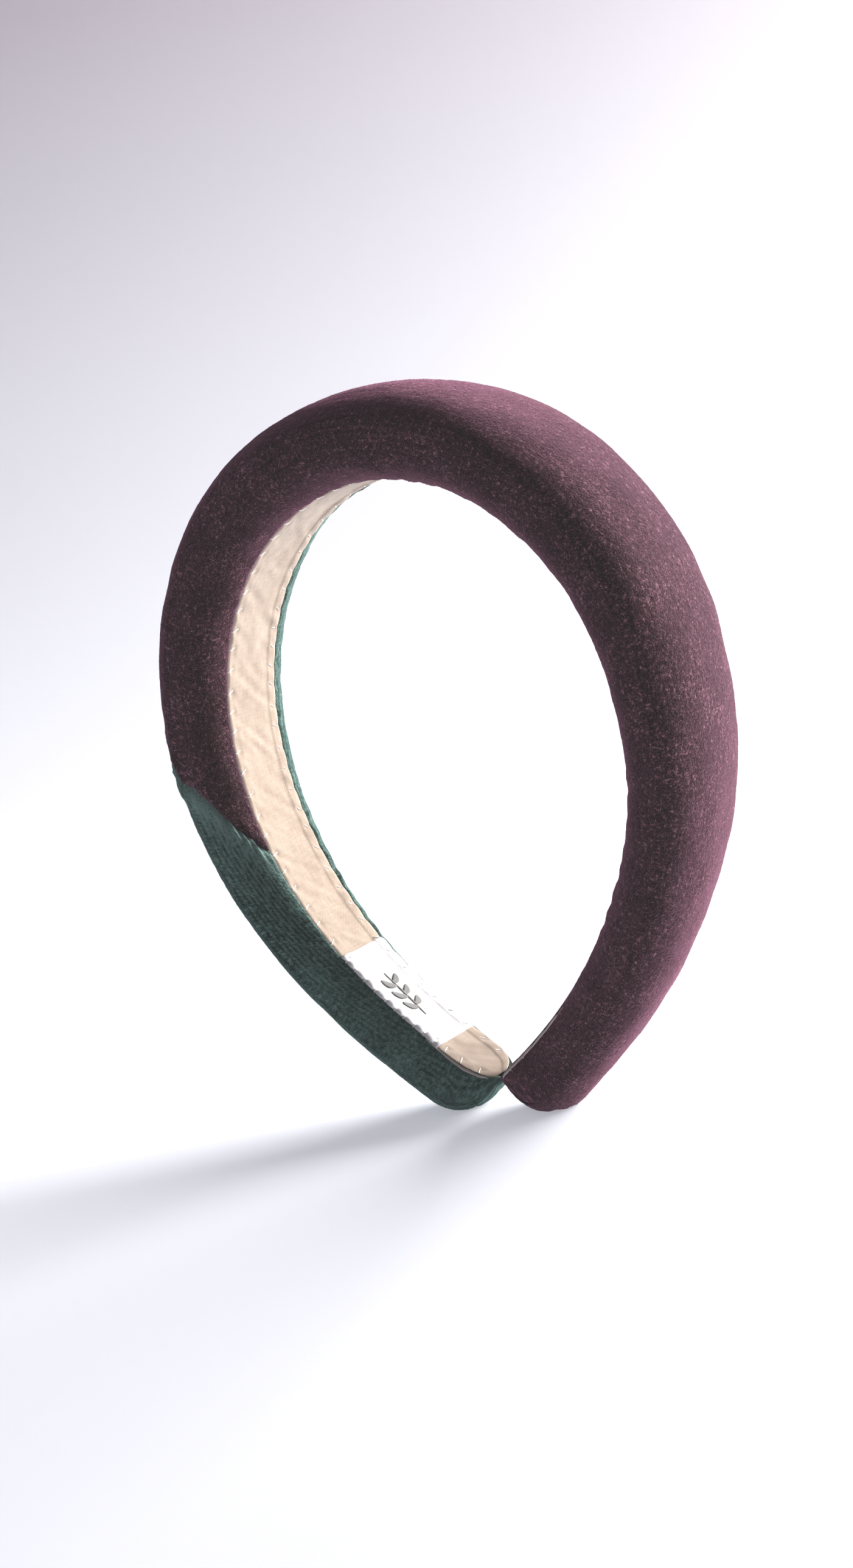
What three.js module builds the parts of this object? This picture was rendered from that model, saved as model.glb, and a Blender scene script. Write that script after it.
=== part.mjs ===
// Padded velvet headband in two colours, with a hand-sewn linen lining and a blank woven label.
//
// Millimetres, +Z up. The band stands on its two tips. The origin is on the surface that it stands
// on, midway between the tips. +X points to the plum arm, +Y to the back of the head, +Z to the crown.
//
// Every piece follows the band's inner line, the curve of the face that touches the head. A point
// of the band is given by s, the distance along that line from the crown (plum arm positive), by y,
// and by n, the distance outwards from the line.

import * as THREE from 'three';

// ---- driving dimensions ----------------------------------------------------------------------

const ARM_LENGTH = 197.4;                      // crown to tip, along the inner line
const BEND_RADII = [51.5, 57, 76.5, 109, 240]; // of the inner line, at even steps from crown to tip
const CROWN_HEIGHT = 154.2;                    // of the inner line, above the surface

const THICKNESS = { crown: 21.3, tip: 16.8 };  // of the whole padded section, along n
const TAPER_SHARE = 0.75;                      // share of an arm over which the thickness changes
const HALF_DEPTH = { crown: 20.3, tip: 7.6 };  // of the whole padded section, along y
const WIDEST_AT = 0.667;                       // share of the thickness where the section is widest
const FULLNESS = 3.7;                          // superellipse power of the section's inner corners
const END_ROUND = 12;                          // length over which a tip rounds off
const BLUNT = { thickness: 0.1, depth: 0.3 };  // share of the section left at the very tip

const FABRIC = 1.2;                            // velvet with its pile
const CLEAR = 0.3;                             // between neighbouring pieces
const FOOT = 0;                                // height of the surface that the tips rest on

const LINING = { crownWidth: 19.2, tipWidth: 14.6, thickness: 0.8, endGap: 5 };
const GROOVE = 1.1;                            // between the lining's edge and the velvet beside it
const TURNING = 3;                             // velvet turned under the lining's edge
const LEAST_UNDER = 0.35;                      // share of a tip's thickness that the lining may take

const SEAM = { front: -117, reach: 115, power: 1.15, gap: 2, thread: 0.45 };
const CORE = { crownHalfWidth: 10, tipHalfWidth: 4.5, thickness: 1.8, endGap: 7 };
const LABEL = { from: -182, to: -149, thickness: 0.35 };
const STITCH = { pitch: 5.4, length: 2.4, bite: 1.3, thread: 0.45, endGap: 7 };

// ---- the inner line --------------------------------------------------------------------------

const LINE_STEP = 0.5;

function smooth(u) {
  const c = Math.min(Math.max(u, 0), 1);
  return c * c * (3 - 2 * c);
}

function curvatureAt(share) {
  const place = Math.min(share, 1) * (BEND_RADII.length - 1);
  const k = Math.min(Math.floor(place), BEND_RADII.length - 2);
  return THREE.MathUtils.lerp(1 / BEND_RADII[k], 1 / BEND_RADII[k + 1], place - k);
}

// Points along one arm, walked from the crown with the curvature above.
function walkArm() {
  const points = [{ x: 0, z: CROWN_HEIGHT, turn: 0 }];
  for (let s = LINE_STEP; s <= ARM_LENGTH + LINE_STEP; s += LINE_STEP) {
    const last = points[points.length - 1];
    const turn = last.turn + LINE_STEP * curvatureAt((s - LINE_STEP / 2) / ARM_LENGTH);
    const middle = (last.turn + turn) / 2;
    points.push({
      x: last.x + LINE_STEP * Math.cos(middle),
      z: last.z - LINE_STEP * Math.sin(middle),
      turn,
    });
  }
  return points;
}

const arm = walkArm();

// The point of the band at s, y, n. Nothing reaches below the surface that the tips rest on.
function place(s, y, n) {
  const step = Math.min(Math.abs(s) / LINE_STEP, arm.length - 1.001);
  const a = arm[Math.floor(step)];
  const b = arm[Math.floor(step) + 1];
  const part = step - Math.floor(step);
  const x = THREE.MathUtils.lerp(a.x, b.x, part);
  const z = THREE.MathUtils.lerp(a.z, b.z, part);
  const turn = THREE.MathUtils.lerp(a.turn, b.turn, part);
  const side = s < 0 ? -1 : 1;
  return new THREE.Vector3(
    side * (x + n * Math.sin(turn)),
    y,
    Math.max(z + n * Math.cos(turn), FOOT),
  );
}

// ---- the padded section ----------------------------------------------------------------------

// Thickness and half depth at s, for the layer that lies inset under the velvet's face.
function sectionAt(s, inset) {
  const share = Math.min(Math.abs(s) / ARM_LENGTH, 1);
  const full = THREE.MathUtils.lerp(THICKNESS.crown, THICKNESS.tip, smooth(share / TAPER_SHARE));
  const half = THREE.MathUtils.lerp(HALF_DEPTH.crown, HALF_DEPTH.tip, share * share);
  const end = ARM_LENGTH - inset;
  const round = END_ROUND - inset;
  const k = THREE.MathUtils.clamp((Math.abs(s) - (end - round)) / round, 0, 1);
  const left = Math.sqrt(1 - k * k);
  return {
    thickness: (full - 2 * inset) * (BLUNT.thickness + (1 - BLUNT.thickness) * left),
    half: (half - inset) * (BLUNT.depth + (1 - BLUNT.depth) * left),
  };
}

function liningHalfWidth(s) {
  const share = Math.abs(s) / ARM_LENGTH;
  const width = THREE.MathUtils.lerp(LINING.crownWidth, LINING.tipWidth, share * share);
  return Math.min(width / 2, 0.92 * sectionAt(s, 0).half);
}

// A point of the section: angle 90 degrees is its outer face, 270 its inner face, 180 its front.
function sectionPoint(s, angle, inset) {
  const { thickness, half } = sectionAt(s, inset);
  const c = Math.cos(angle);
  const d = Math.sin(angle);
  if (d >= 0) {
    return { y: half * c, n: inset + thickness * (WIDEST_AT + (1 - WIDEST_AT) * d) };
  }
  return {
    y: half * Math.sign(c) * Math.abs(c) ** (2 / FULLNESS),
    n: inset + thickness * WIDEST_AT * (1 - Math.abs(d) ** (2 / FULLNESS)),
  };
}

// ---- mesh helpers ----------------------------------------------------------------------------

// Triangles of one closed body. Points that fall together, as at a tip, are merged, and the flat
// triangles that this leaves are dropped.
class Body {
  constructor() {
    this.points = [];
    this.index = new Map();
    this.triangles = [];
  }

  point(p) {
    const key = `${p.x.toFixed(4)},${p.y.toFixed(4)},${p.z.toFixed(4)}`;
    if (!this.index.has(key)) {
      this.index.set(key, this.points.length);
      this.points.push(p);
    }
    return this.index.get(key);
  }

  triangle(a, b, c) {
    const [i, j, k] = [this.point(a), this.point(b), this.point(c)];
    if (i !== j && j !== k && k !== i) {
      this.triangles.push(i, j, k);
    }
  }

  quad(a, b, c, d) {
    this.triangle(a, b, c);
    this.triangle(a, c, d);
  }

  strip(rowA, rowB) {
    for (let k = 0; k + 1 < rowA.length; k += 1) {
      this.quad(rowA[k], rowA[k + 1], rowB[k + 1], rowB[k]);
    }
  }

  geometry() {
    const geometry = new THREE.BufferGeometry();
    geometry.setAttribute('position',
      new THREE.Float32BufferAttribute(this.points.flatMap((p) => p.toArray()), 3));
    geometry.setIndex(this.facesOut() ? this.triangles : this.triangles.slice().reverse());
    geometry.computeVertexNormals();
    return geometry;
  }

  // The signed volume says which way the triangles face.
  facesOut() {
    let volume = 0;
    for (let k = 0; k < this.triangles.length; k += 3) {
      const [a, b, c] = this.triangles.slice(k, k + 3).map((i) => this.points[i]);
      volume += a.dot(b.clone().cross(c));
    }
    return volume > 0;
  }
}

// A rod through closed rings, with a flat fan at each end.
function rod(rings) {
  const body = new Body();
  const looped = rings.map((ring) => [...ring, ring[0]]);
  for (let k = 0; k + 1 < looped.length; k += 1) {
    body.strip(looped[k], looped[k + 1]);
  }
  const first = looped[0];
  const last = looped[looped.length - 1];
  for (let k = 1; k + 2 < first.length; k += 1) {
    body.triangle(first[0], first[k + 1], first[k]);
    body.triangle(last[0], last[k], last[k + 1]);
  }
  return body.geometry();
}

// A sheet of fabric between its two faces, given as rows of points, with a wall round its border.
function sheet(face, back) {
  const body = new Body();
  const backRows = back.map((row) => row.slice().reverse());
  for (let k = 0; k + 1 < face.length; k += 1) {
    body.strip(face[k], face[k + 1]);
    body.strip(backRows[k], backRows[k + 1]);
    const end = face[k].length - 1;
    body.quad(face[k][0], face[k + 1][0], back[k + 1][0], back[k][0]);
    body.quad(face[k + 1][end], face[k][end], back[k][end], back[k + 1][end]);
  }
  const last = face.length - 1;
  body.strip(back[0], face[0]);
  body.strip(face[last], back[last]);
  return body.geometry();
}

// A round thread along a path, with a three-sided section.
function thread(path, diameter) {
  const sides = 3;
  const rings = path.map((p, k) => {
    const before = path[Math.max(k - 1, 0)];
    const after = path[Math.min(k + 1, path.length - 1)];
    const along = after.clone().sub(before).normalize();
    const across = new THREE.Vector3(0, 1, 0);
    if (Math.abs(along.y) > 0.9) {
      across.set(p.x, 0, p.z - CROWN_HEIGHT / 2).normalize();
    }
    across.cross(along).normalize();
    const up = along.clone().cross(across);
    return Array.from({ length: sides }, (_, side) => {
      const angle = (2 * Math.PI * side) / sides;
      return p.clone()
        .addScaledVector(across, (diameter / 2) * Math.cos(angle))
        .addScaledVector(up, (diameter / 2) * Math.sin(angle));
    });
  });
  return rod(rings);
}

function range(from, to, steps) {
  return Array.from({ length: steps + 1 }, (_, k) => THREE.MathUtils.lerp(from, to, k / steps));
}

const band = new THREE.Group();

function add(name, geometry, color, roughness, metalness = 0) {
  const material = new THREE.MeshStandardMaterial({ color, roughness, metalness });
  const mesh = new THREE.Mesh(geometry, material);
  mesh.name = name;
  band.add(mesh);
}

// ---- core: a moulded plastic hoop, wide at the crown and narrow at the tips ------------------

const coreBase = LINING.thickness + CLEAR + FABRIC + CLEAR;
const coreTop = coreBase + CORE.thickness;
const CORE_STEPS = 48;

function coreGeometry() {
  const reach = ARM_LENGTH - CORE.endGap;
  return rod(range(-reach, reach, CORE_STEPS).map((s) => {
    const share = Math.abs(s) / ARM_LENGTH;
    const half = THREE.MathUtils.lerp(CORE.crownHalfWidth, CORE.tipHalfWidth, share * share);
    return [
      place(s, -half, coreBase),
      place(s, half, coreBase),
      place(s, half, coreTop),
      place(s, -half, coreTop),
    ];
  }));
}

add('band_core', coreGeometry(), 0xe9e6df, 0.5);

// ---- foam: a flat-bottomed pad over the core -------------------------------------------------

const foamBase = coreTop + CLEAR;
const FOAM_STEPS = 56;
const FOAM_SIDES = 14;
const FOAM_END_GAP = 5;

function foamGeometry() {
  const inset = FABRIC + 2 * CLEAR;
  const reach = ARM_LENGTH - FOAM_END_GAP;
  const corner = THREE.MathUtils.degToRad(32);
  return rod(range(-reach, reach, FOAM_STEPS).map((s) => (
    range(-corner, Math.PI + corner, FOAM_SIDES).map((angle) => {
      const { y, n } = sectionPoint(s, angle, inset);
      return place(s, y, Math.max(n, foamBase));
    })
  )));
}

add('foam_pad', foamGeometry(), 0xf0ead2, 0.95);

// ---- velvet cover: two panels joined by a diagonal seam, edges turned under the lining --------

// Girth runs round the velvet from 0, where it meets the lining in front, to 1, where it meets it
// at the rear. Just outside that range lie the bottom of the groove and the edge of the turning.
const GIRTH_STEPS = 20;
const GROOVE_GIRTH = 0.015;
const TURNING_GIRTH = 0.05;
const girths = [
  -TURNING_GIRTH,
  -GROOVE_GIRTH,
  ...range(0, 1, GIRTH_STEPS),
  1 + GROOVE_GIRTH,
  1 + TURNING_GIRTH,
];

function velvetPoint(s, girth, inset) {
  const edge = liningHalfWidth(s);
  const { half, thickness } = sectionAt(s, 0);
  if (girth < 0 || girth > 1) {
    const side = girth < 0 ? -1 : 1;
    const turned = girth < -GROOVE_GIRTH || girth > 1 + GROOVE_GIRTH;
    const depth = Math.min(LINING.thickness + CLEAR, LEAST_UNDER * thickness);
    return { y: side * (turned ? Math.max(edge - TURNING, 0.3 * edge) : edge), n: depth + inset };
  }
  const shoulder = Math.min((edge + GROOVE) / half, 0.97);
  const open = Math.acos(shoulder ** (FULLNESS / 2));
  return sectionPoint(s, THREE.MathUtils.lerp(Math.PI + open, -open, girth), inset);
}

function seamAt(girth) {
  return SEAM.front + SEAM.reach * Math.sign(girth) * Math.abs(girth) ** SEAM.power;
}

// A face of a panel, from its seam to its tip. It comes to a point at the tip.
function panelFace(side, steps, inset) {
  const tip = side * (ARM_LENGTH - inset);
  const start = (girth) => seamAt(girth) + (side * SEAM.gap) / 2;
  const rows = range(0, 1, steps).map((share) => {
    const bunched = 1 - (1 - share) ** 1.35;
    return girths.map((girth) => {
      const s = THREE.MathUtils.lerp(start(girth), tip, bunched);
      const { y, n } = velvetPoint(s, girth, inset);
      return place(s, y, n);
    });
  });
  const { thickness } = sectionAt(tip, inset);
  const apex = place(tip, 0, LINING.thickness + inset + thickness / 2);
  rows.push(girths.map(() => apex));
  return rows;
}

function panelGeometry(side, steps) {
  const face = panelFace(side, steps, 0);
  const back = panelFace(side, steps, FABRIC);
  return sheet(face, back);
}

const PLUM_STEPS = 40;
const GREEN_STEPS = 26;

add('velvet_cover_plum', panelGeometry(1, PLUM_STEPS), 0x5b3446, 0.9);
add('velvet_cover_green', panelGeometry(-1, GREEN_STEPS), 0x1f4a45, 0.9);

// ---- seam thread: the row of stitches that joins the two panels ------------------------------

function seamPath() {
  return girths.map((girth) => {
    const s = seamAt(girth);
    const { y, n } = velvetPoint(s, girth, FABRIC / 2);
    return place(s, y, n);
  });
}

add('panel_seam_thread', thread(seamPath(), SEAM.thread), 0x3b3038, 0.8);

// ---- lining: a hemmed strip of linen over the turned edges -----------------------------------

const LINING_STEPS = 76;

function liningGeometry() {
  const reach = ARM_LENGTH - LINING.endGap;
  return rod(range(-reach, reach, LINING_STEPS).map((s) => {
    const half = liningHalfWidth(s);
    return [
      place(s, -half, 0),
      place(s, half, 0),
      place(s, half, LINING.thickness),
      place(s, -half, LINING.thickness),
    ];
  }));
}

add('lining_strip', liningGeometry(), 0xd8c3a5, 0.95);

// ---- label: a blank woven tape laid across the lining near the green tip ----------------------

const LABEL_STEPS = 8;

function labelGeometry() {
  const top = -CLEAR - LABEL.thickness;
  return rod(range(LABEL.from, LABEL.to, LABEL_STEPS).map((s) => {
    const half = liningHalfWidth(s);
    return [
      place(s, -half, top),
      place(s, half, top),
      place(s, half, -CLEAR),
      place(s, -half, -CLEAR),
    ];
  }));
}

add('woven_label', labelGeometry(), 0xf2f0f4, 0.7);

// ---- whip stitches: one thread along each edge of the lining ---------------------------------

// Between stitches the thread lies in the groove beside the lining, and each stitch hooks over
// the edge. Over the label it rides higher.
function stitchPath(side) {
  const reach = ARM_LENGTH - STITCH.endGap;
  const count = Math.floor((2 * reach) / STITCH.pitch);
  const path = [];
  for (let k = 0; k < count; k += 1) {
    const s = -reach + k * STITCH.pitch;
    const onLabel = s > LABEL.from - STITCH.pitch && s < LABEL.to + STITCH.pitch;
    const top = -CLEAR - STITCH.thread / 2 - (onLabel ? CLEAR + LABEL.thickness : 0);
    const edge = liningHalfWidth(s);
    path.push(place(s, side * (edge + GROOVE / 2), 0.3 * LINING.thickness));
    path.push(place(s + 0.35 * STITCH.length, side * (edge + 0.2), top));
    path.push(place(s + 0.65 * STITCH.length, side * (edge - STITCH.bite), top));
    path.push(place(s + STITCH.length, side * (edge + 0.2), top));
  }
  return path;
}

add('whip_stitches_front', thread(stitchPath(-1), STITCH.thread), 0xf4f1ea, 0.7);
add('whip_stitches_rear', thread(stitchPath(1), STITCH.thread), 0xf4f1ea, 0.7);

export default band;
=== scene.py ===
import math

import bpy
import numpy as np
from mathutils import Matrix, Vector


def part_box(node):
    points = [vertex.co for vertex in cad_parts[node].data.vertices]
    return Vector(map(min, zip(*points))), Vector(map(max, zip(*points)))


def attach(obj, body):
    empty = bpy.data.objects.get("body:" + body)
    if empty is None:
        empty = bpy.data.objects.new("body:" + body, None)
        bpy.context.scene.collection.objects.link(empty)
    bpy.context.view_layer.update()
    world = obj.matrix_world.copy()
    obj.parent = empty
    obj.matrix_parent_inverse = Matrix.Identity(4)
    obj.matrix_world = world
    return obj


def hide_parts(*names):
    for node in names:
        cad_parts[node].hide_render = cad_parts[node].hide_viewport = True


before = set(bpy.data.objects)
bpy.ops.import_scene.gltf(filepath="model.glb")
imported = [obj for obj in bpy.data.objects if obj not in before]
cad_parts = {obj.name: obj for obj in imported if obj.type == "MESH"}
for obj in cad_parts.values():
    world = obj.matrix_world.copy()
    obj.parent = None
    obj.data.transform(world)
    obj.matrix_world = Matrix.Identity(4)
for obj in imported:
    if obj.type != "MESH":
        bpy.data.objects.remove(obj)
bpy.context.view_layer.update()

# Looks of the padded velvet headband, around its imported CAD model.
#
# The CAD model gives the band's inner line and its padded section. This script repeats those few
# driving dimensions, in millimetres, and builds the fabric on them: s runs along the inner line from
# the crown, plum arm positive, y runs to the back of the head, and n runs outwards from the line.

MM = 0.001

# ---- the band's driving dimensions, as in the CAD model ----

ARM = 197.4
BEND_RADII = (51.5, 57.0, 76.5, 109.0, 240.0)
THICKNESS = (21.3, 16.8)
TAPER_SHARE = 0.75
HALF_DEPTH = (20.3, 7.6)
WIDEST_AT = 0.667
FULLNESS = 3.7
END_ROUND = 12.0
BLUNT_THICKNESS = 0.24  # a little rounder than the CAD tip, as stuffed fabric is
BLUNT_DEPTH = 0.42
FABRIC = 1.2
LINING_WIDTH = (19.2, 14.6)
LINING_THICKNESS = 0.8
SEAM_FRONT = -117.0
SEAM_REACH = 115.0
SEAM_POWER = 1.15
LABEL_SPAN = (-182.0, -149.0)
STITCH_PITCH = 5.4
LABEL_PITCH = 3.3
CROWN_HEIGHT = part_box("lining_strip")[1][2] / MM - LINING_THICKNESS
FLOOR_GAP = 0.05  # the lowest point of the cloth, above the floor

# ---- small helpers ----


def smooth(u):
    c = np.clip(u, 0.0, 1.0)
    return c * c * (3.0 - 2.0 * c)


def mix(a, b, u):
    return a + (b - a) * u


def hill(x, width):
    """A bell shape: 1 at 0, and 0.37 at a distance of width."""
    return np.exp(-(x / width) ** 2)


def lattice(seed, size=64):
    return np.random.RandomState(seed).rand(size, size) * 2.0 - 1.0


def noise(u, v, seed):
    """Smooth noise from -1 to 1, with one lattice cell per unit of u and v."""
    grid = lattice(seed)
    size = grid.shape[0]
    iu = np.floor(u).astype(int)
    iv = np.floor(v).astype(int)
    fu = smooth(u - iu)
    fv = smooth(v - iv)
    low = mix(grid[iu % size, iv % size], grid[(iu + 1) % size, iv % size], fu)
    high = mix(grid[iu % size, (iv + 1) % size], grid[(iu + 1) % size, (iv + 1) % size], fu)
    return mix(low, high, fv)


# ---- the inner line and the section ----

LINE_STEP = 0.25


def walk_arm():
    """s, x, z and the angle turned, at even steps along one arm of the inner line."""
    s = np.arange(0.0, ARM + 2 * LINE_STEP, LINE_STEP)
    stations = np.linspace(0.0, ARM, len(BEND_RADII))
    bend = np.interp(s[:-1] + LINE_STEP / 2, stations, [1.0 / r for r in BEND_RADII])
    turn = np.concatenate([[0.0], np.cumsum(bend * LINE_STEP)])
    middle = (turn[1:] + turn[:-1]) / 2
    x = np.concatenate([[0.0], np.cumsum(np.cos(middle) * LINE_STEP)])
    z = CROWN_HEIGHT - np.concatenate([[0.0], np.cumsum(np.sin(middle) * LINE_STEP)])
    return s, x, z, turn


LINE = walk_arm()


def place(s, y, n):
    """Points of the band in metres, as an array with x, y, z last."""
    s, y, n = np.broadcast_arrays(np.asarray(s, float), np.asarray(y, float), np.asarray(n, float))
    along = np.abs(s)
    x, z, turn = (np.interp(along, LINE[0], LINE[k]) for k in (1, 2, 3))
    side = np.where(s < 0, -1.0, 1.0)
    out = np.stack([side * (x + n * np.sin(turn)), y, z + n * np.cos(turn)], axis=-1)
    out[..., 2] = np.maximum(out[..., 2], FLOOR_GAP)
    return out * MM


def section_size(s, inset=0.0):
    """Thickness and half depth of the padded section, inset from its surface."""
    share = np.clip(np.abs(s) / ARM, 0.0, 1.0)
    full = mix(THICKNESS[0], THICKNESS[1], smooth(share / TAPER_SHARE))
    half = mix(HALF_DEPTH[0], HALF_DEPTH[1], share ** 2)
    round_off = END_ROUND - inset
    k = np.clip((np.abs(s) - (ARM - inset - round_off)) / round_off, 0.0, 1.0)
    left = np.sqrt(1.0 - k * k)
    return (
        (full - 2 * inset) * mix(BLUNT_THICKNESS, 1.0, left),
        (half - inset) * mix(BLUNT_DEPTH, 1.0, left),
    )


def lining_half(s):
    width = mix(LINING_WIDTH[0], LINING_WIDTH[1], (np.abs(s) / ARM) ** 2)
    return np.minimum(width / 2, 0.92 * section_size(s)[1])


def section_point(s, angle, inset=0.0):
    """y and n of the section: a quarter turn is its outer face and half a turn its front."""
    thickness, half = section_size(s, inset)
    c, d = np.cos(angle), np.sin(angle)
    inner = np.abs(d) ** (2 / FULLNESS)
    y = np.where(d >= 0, half * c, half * np.sign(c) * np.abs(c) ** (2 / FULLNESS))
    n = np.where(d >= 0, WIDEST_AT + (1 - WIDEST_AT) * d, WIDEST_AT * (1 - inner))
    return y, inset + thickness * n


def seam_at(girth):
    """s of the slanted seam between the velvets, at a share of the way round from the front."""
    return SEAM_FRONT + SEAM_REACH * np.sign(girth) * np.abs(girth) ** SEAM_POWER


# ---- meshes ----


def grid_faces(rows, columns, first=0, flip=False, closed=False):
    """Quads over a grid of points that starts at number first, joined up across if closed."""
    i, j = np.meshgrid(np.arange(rows - 1), np.arange(columns - (0 if closed else 1)), indexing="ij")
    k = (j + 1) % columns
    a, b = first + i * columns + j, first + i * columns + k
    c, d = b + columns, a + columns
    quads = np.stack([a, b, c, d], axis=-1).reshape(-1, 4)
    return quads[:, ::-1] if flip else quads


def vectors(*parts):
    """One row of three numbers for each point."""
    return np.stack(np.broadcast_arrays(*parts), axis=-1).reshape(-1, 3)


def add_object(name, data):
    made = bpy.data.objects.new(name, data)
    bpy.context.collection.objects.link(made)
    return made


def make_mesh(name, points, faces, material, slot, **layers):
    """An object from points in metres and a list of face arrays, with vectors stored by name."""
    mesh = bpy.data.meshes.new(name)
    loops = [f for group in faces for f in np.asarray(group).tolist()]
    mesh.from_pydata(points.reshape(-1, 3).tolist(), [], loops)
    mesh.validate()
    mesh.polygons.foreach_set("use_smooth", [True] * len(mesh.polygons))
    for layer_name, vectors in layers.items():
        layer = mesh.attributes.new(layer_name, "FLOAT_VECTOR", "POINT")
        layer.data.foreach_set("vector", vectors.reshape(-1, 3).astype(np.float32).ravel())
    mesh.materials.append(material)
    piece = add_object(name, mesh)
    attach(piece, "root")
    return piece


def grid_normals(points):
    """Unit normals of a grid of points, by differences along its rows and columns."""
    du = np.gradient(points, axis=0)
    dv = np.gradient(points, axis=1)
    normal = np.cross(du, dv)
    return normal / np.maximum(np.linalg.norm(normal, axis=-1, keepdims=True), 1e-12)


def zip_faces(row_a, row_b):
    """Triangles between two rows of points with different counts."""
    faces = []
    last = len(row_b) - 1
    reach = np.round(np.linspace(0, last, len(row_a))).astype(int)
    for k in range(len(row_a) - 1):
        faces.append((row_a[k], row_a[k + 1], row_b[reach[k]]))
        for m in range(reach[k], reach[k + 1]):
            faces.append((row_a[k + 1], row_b[m + 1], row_b[m]))
    return np.array(faces)


# ---- material nodes ----


class Nodes:
    """Short calls for a material's node tree."""

    def __init__(self, name):
        self.material = bpy.data.materials.new(name)
        self.material.use_nodes = True
        self.tree = self.material.node_tree
        self.shader = self.tree.nodes["Principled BSDF"]

    def node(self, kind, **settings):
        made = self.tree.nodes.new(kind)
        for key, value in settings.items():
            setattr(made, key, value)
        return made

    def link(self, output, socket):
        self.tree.links.new(output, socket)

    def put(self, socket, value):
        if isinstance(value, bpy.types.NodeSocket):
            self.link(value, socket)
        else:
            socket.default_value = value

    def math(self, operation, a, b=0.0, c=0.0):
        made = self.node("ShaderNodeMath", operation=operation)
        for socket, value in zip(made.inputs, (a, b, c)):
            self.put(socket, value)
        return made.outputs[0]

    def plus(self, a, b):
        return self.math("ADD", a, b)

    def minus(self, a, b):
        return self.math("SUBTRACT", a, b)

    def times(self, a, b):
        return self.math("MULTIPLY", a, b)

    def limit(self, value, most):
        return self.math("MINIMUM", self.math("MAXIMUM", value, 0.0), most)

    def layer(self, name="cloth"):
        """A stored vector: for cloth, millimetres along and across, and a third number."""
        attribute = self.node("ShaderNodeAttribute", attribute_name=name)
        split = self.node("ShaderNodeSeparateXYZ")
        self.link(attribute.outputs["Vector"], split.inputs[0])
        return tuple(split.outputs)

    def join(self, x, y, z=0.0):
        made = self.node("ShaderNodeCombineXYZ")
        for socket, value in zip(made.inputs, (x, y, z)):
            self.put(socket, value)
        return made.outputs[0]

    def noise(self, vector, scale, detail=2.0, roughness=0.5, distortion=0.0):
        made = self.node("ShaderNodeTexNoise")
        self.link(vector, made.inputs["Vector"])
        made.inputs["Scale"].default_value = scale
        made.inputs["Detail"].default_value = detail
        made.inputs["Roughness"].default_value = roughness
        made.inputs["Distortion"].default_value = distortion
        return made.outputs["Fac"]

    def ramp(self, value, *stops):
        made = self.node("ShaderNodeValToRGB")
        self.link(value, made.inputs[0])
        elements = made.color_ramp.elements
        while len(elements) < len(stops):
            elements.new(0.5)
        for element, (position, color) in zip(elements, stops):
            element.position = position
            element.color = (*color, 1.0)
        return made.outputs["Color"]

    def blend(self, factor, a, b, how="MIX"):
        made = self.node("ShaderNodeMix", data_type="RGBA", blend_type=how)
        self.put(made.inputs[0], factor)
        for socket, value in ((made.inputs[6], a), (made.inputs[7], b)):
            self.put(socket, value if isinstance(value, bpy.types.NodeSocket) else (*value, 1.0))
        return made.outputs[2]

    def bump(self, height, distance, strength=1.0):
        made = self.node("ShaderNodeBump")
        made.inputs["Strength"].default_value = strength
        made.inputs["Distance"].default_value = distance
        self.link(height, made.inputs["Height"])
        self.link(made.outputs[0], self.shader.inputs["Normal"])

    def set(self, **values):
        for key, value in values.items():
            self.put(self.shader.inputs[key.replace("_", " ")], value)


def velvet(name, gap, middle, light, hair, tint, knit, shine):
    """Short dense pile in columns of tufts along the band, with loose pale fibre ends.

    gap, middle and light are the colours from between the tufts to their ends, and hair is that of
    loose fibre ends. tint and shine are the sheen's colour and strength. knit is how much of the
    pattern comes from the tufts, and the rest comes from the fibres.
    """
    m = Nodes(name)
    along, across = m.layer()[:2]
    # seam holds painted light: a paler band beside the seam, on the green panel only
    tuft, seam = m.layer("pile")[:2]
    flat = m.join(along, across, 0.0)
    fibre = m.minus(m.noise(flat, 1.8, 3.0, 0.62, 1.0), 0.5)
    patch = m.minus(m.noise(flat, 0.10, 3.0, 0.6), 0.5)
    clump = m.minus(m.noise(flat, 0.8, 2.0, 0.6), 0.5)
    pile = m.plus(m.times(tuft, knit), m.times(fibre, 1.9 - knit))
    shade = m.plus(m.plus(pile, m.times(patch, 0.45)),
                   m.times(clump, 0.8))
    # painted light: paler colour beside the seam
    shade = m.plus(shade, m.times(seam, 0.22))
    color = m.ramp(shade, (0.0, gap), (0.34, middle), (0.80, light))
    ends = m.noise(m.join(m.plus(along, fibre), m.times(across, 0.6), 11.0), 6.0,
                   2.0, 0.6)
    # painted light: more pale fibre ends beside the seam
    ends = m.plus(ends, m.times(seam, 0.05))
    color = m.blend(m.limit(m.times(m.minus(ends, 0.60), 4.0), 0.5), color, hair)
    m.set(Base_Color=color, Roughness=1.0, Sheen_Weight=shine, Sheen_Roughness=0.38,
          Sheen_Tint=(*tint, 1.0), Specular_IOR_Level=0.04)
    m.bump(pile, 0.00028, 0.8)
    return m.material


WEAVE_PITCH = 0.42
TIP_SHADE_FROM = 181.0  # s past which the linen is darkened towards the tip, painted shade
TIP_SHADE_FADE = 8.0  # distance over which it darkens
TIP_SHADE_MOST = 0.8
BRIM_WIDTH = 0.45  # of the paler edge, where the fold catches the light
RIB_PITCH = 0.30
CROSS_PITCH = 0.22


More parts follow.
